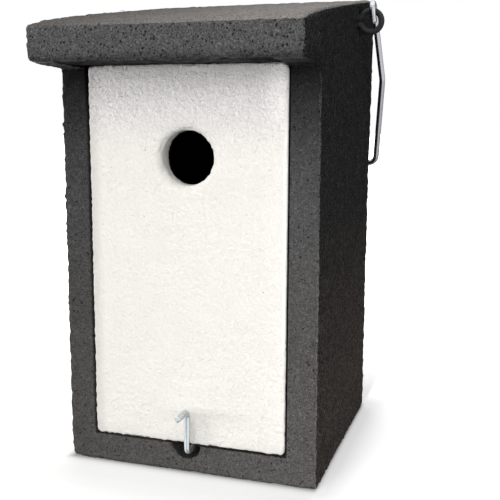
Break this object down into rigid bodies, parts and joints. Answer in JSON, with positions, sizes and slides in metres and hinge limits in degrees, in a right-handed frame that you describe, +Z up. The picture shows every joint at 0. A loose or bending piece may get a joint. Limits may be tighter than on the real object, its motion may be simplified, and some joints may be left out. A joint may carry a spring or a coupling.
{
  "type": "woodcrete nest box",
  "caption": "Nest box for small hole-nesting birds: cast body, overhanging sloped roof, lift-out front panel with a round entrance hole, turning wire hook and hanging wire bail.",
  "frame": {"origin": "centre of the body's footprint on its underside, the base mount", "axes": "+Z up, -Y out of the front with the entrance hole, +X to the right as seen from the front"},
  "size_m": [0.1946, 0.1955, 0.299],
  "materials": {
    "casing": "cast woodcrete, anthracite, matt with fine pits",
    "panel": "cast woodcrete, white, rough plaster grain",
    "hook": "galvanised wire, bright",
    "plug": "moulded nylon",
    "eye": "dark paint over wire",
    "bail": "galvanised wire, bright"
  },
  "bodies": {
    "box": {"casing": "casing", "latch_plug": "plug", "eye_left": "eye", "eye_right": "eye"},
    "panel": {"front_panel": "panel"},
    "latch": {"latch_hook": "hook"},
    "bail": {"hanging_bail": "bail"}
  },
  "joints": [
    {"name": "panel_tilt", "type": "hinge", "parent": "box", "child": "panel", "pos_m": [0, -0.0685, 0.2476], "axis": [-1, 0, 0], "range_deg": [0, 1.2]},
    {"name": "latch_turn", "type": "hinge", "parent": "box", "child": "latch", "pos_m": [0.0019, -0.0832, 0.0151], "axis": [0, 1, 0], "range_deg": [0, 120]},
    {"name": "bail_swing", "type": "hinge", "parent": "box", "child": "bail", "pos_m": [0, 0.0251, 0.2855], "axis": [1, 0, 0], "range_deg": [0, 245]}
  ],
  "couplings": [
    {"joint": "latch_turn", "follows": "panel_tilt", "ratio": 100}
  ]
}
